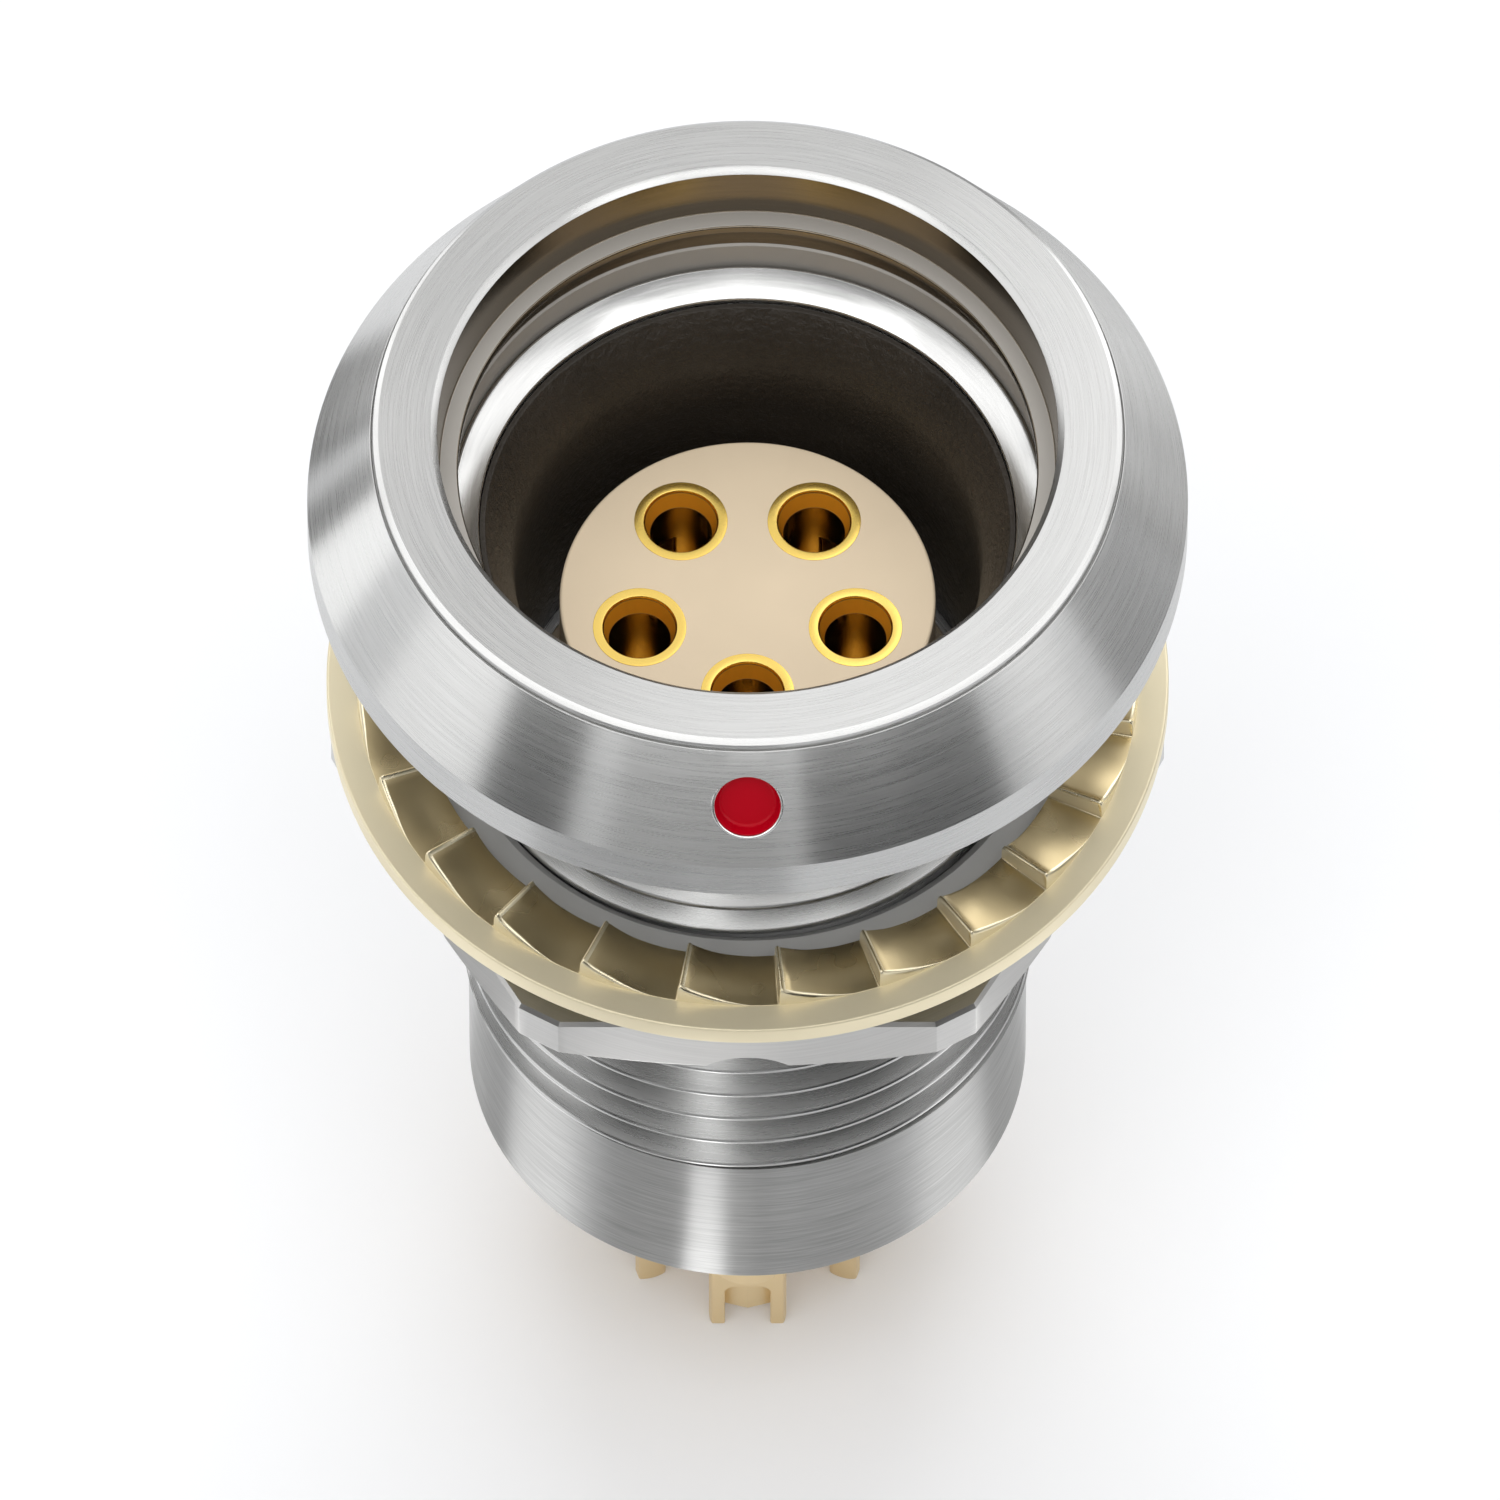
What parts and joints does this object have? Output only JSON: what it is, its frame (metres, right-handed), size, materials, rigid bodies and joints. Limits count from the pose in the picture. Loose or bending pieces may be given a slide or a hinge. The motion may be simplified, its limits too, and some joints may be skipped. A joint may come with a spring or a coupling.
{
  "type": "panel receptacle connector",
  "caption": "Round panel-mount connector receptacle with a conical steel flange, threaded barrel, toothed lock washer, hex nut and gold socket contacts with solder forks.",
  "frame": {"origin": "on the barrel's axis, at the tips of the solder forks", "axes": "+Z along the axis towards the mating face; the red alignment dot faces -Y"},
  "size_m": [0.0306, 0.0306, 0.0506],
  "materials": {
    "steel": "satin turned",
    "sleeve": "fine grain",
    "insulator": "matt moulded",
    "contact": "gold plated",
    "clip": "spring temper",
    "washer": "pale gold satin plate",
    "dot": "red enamel"
  },
  "bodies": {
    "receptacle": {"shell": "steel", "bore_sleeve": "sleeve", "insulator_front": "insulator", "insulator_rear": "insulator", "rear_collar": "steel", "contact_1": "contact", "contact_2": "contact", "contact_3": "contact", "contact_4": "contact", "contact_5": "contact", "contact_clip_1": "clip", "contact_clip_2": "clip", "contact_clip_3": "clip", "contact_clip_4": "clip", "contact_clip_5": "clip", "alignment_dot": "dot"},
    "washer": {"lock_washer": "washer"},
    "nut": {"hex_nut": "steel"}
  },
  "joints": [
    {"name": "nut_feed", "type": "slide", "parent": "receptacle", "child": "washer", "axis": [0, 0, 1], "range_m": [-0.0112, 0.0085]},
    {"name": "nut_turn", "type": "hinge", "parent": "washer", "child": "nut", "pos_m": [0, 0, 0.032], "axis": [0, 0, 1], "range_deg": [-2640, 1968]}
  ],
  "couplings": [
    {"joint": "nut_feed", "follows": "nut_turn", "m_per_rad": 0.00023873}
  ]
}
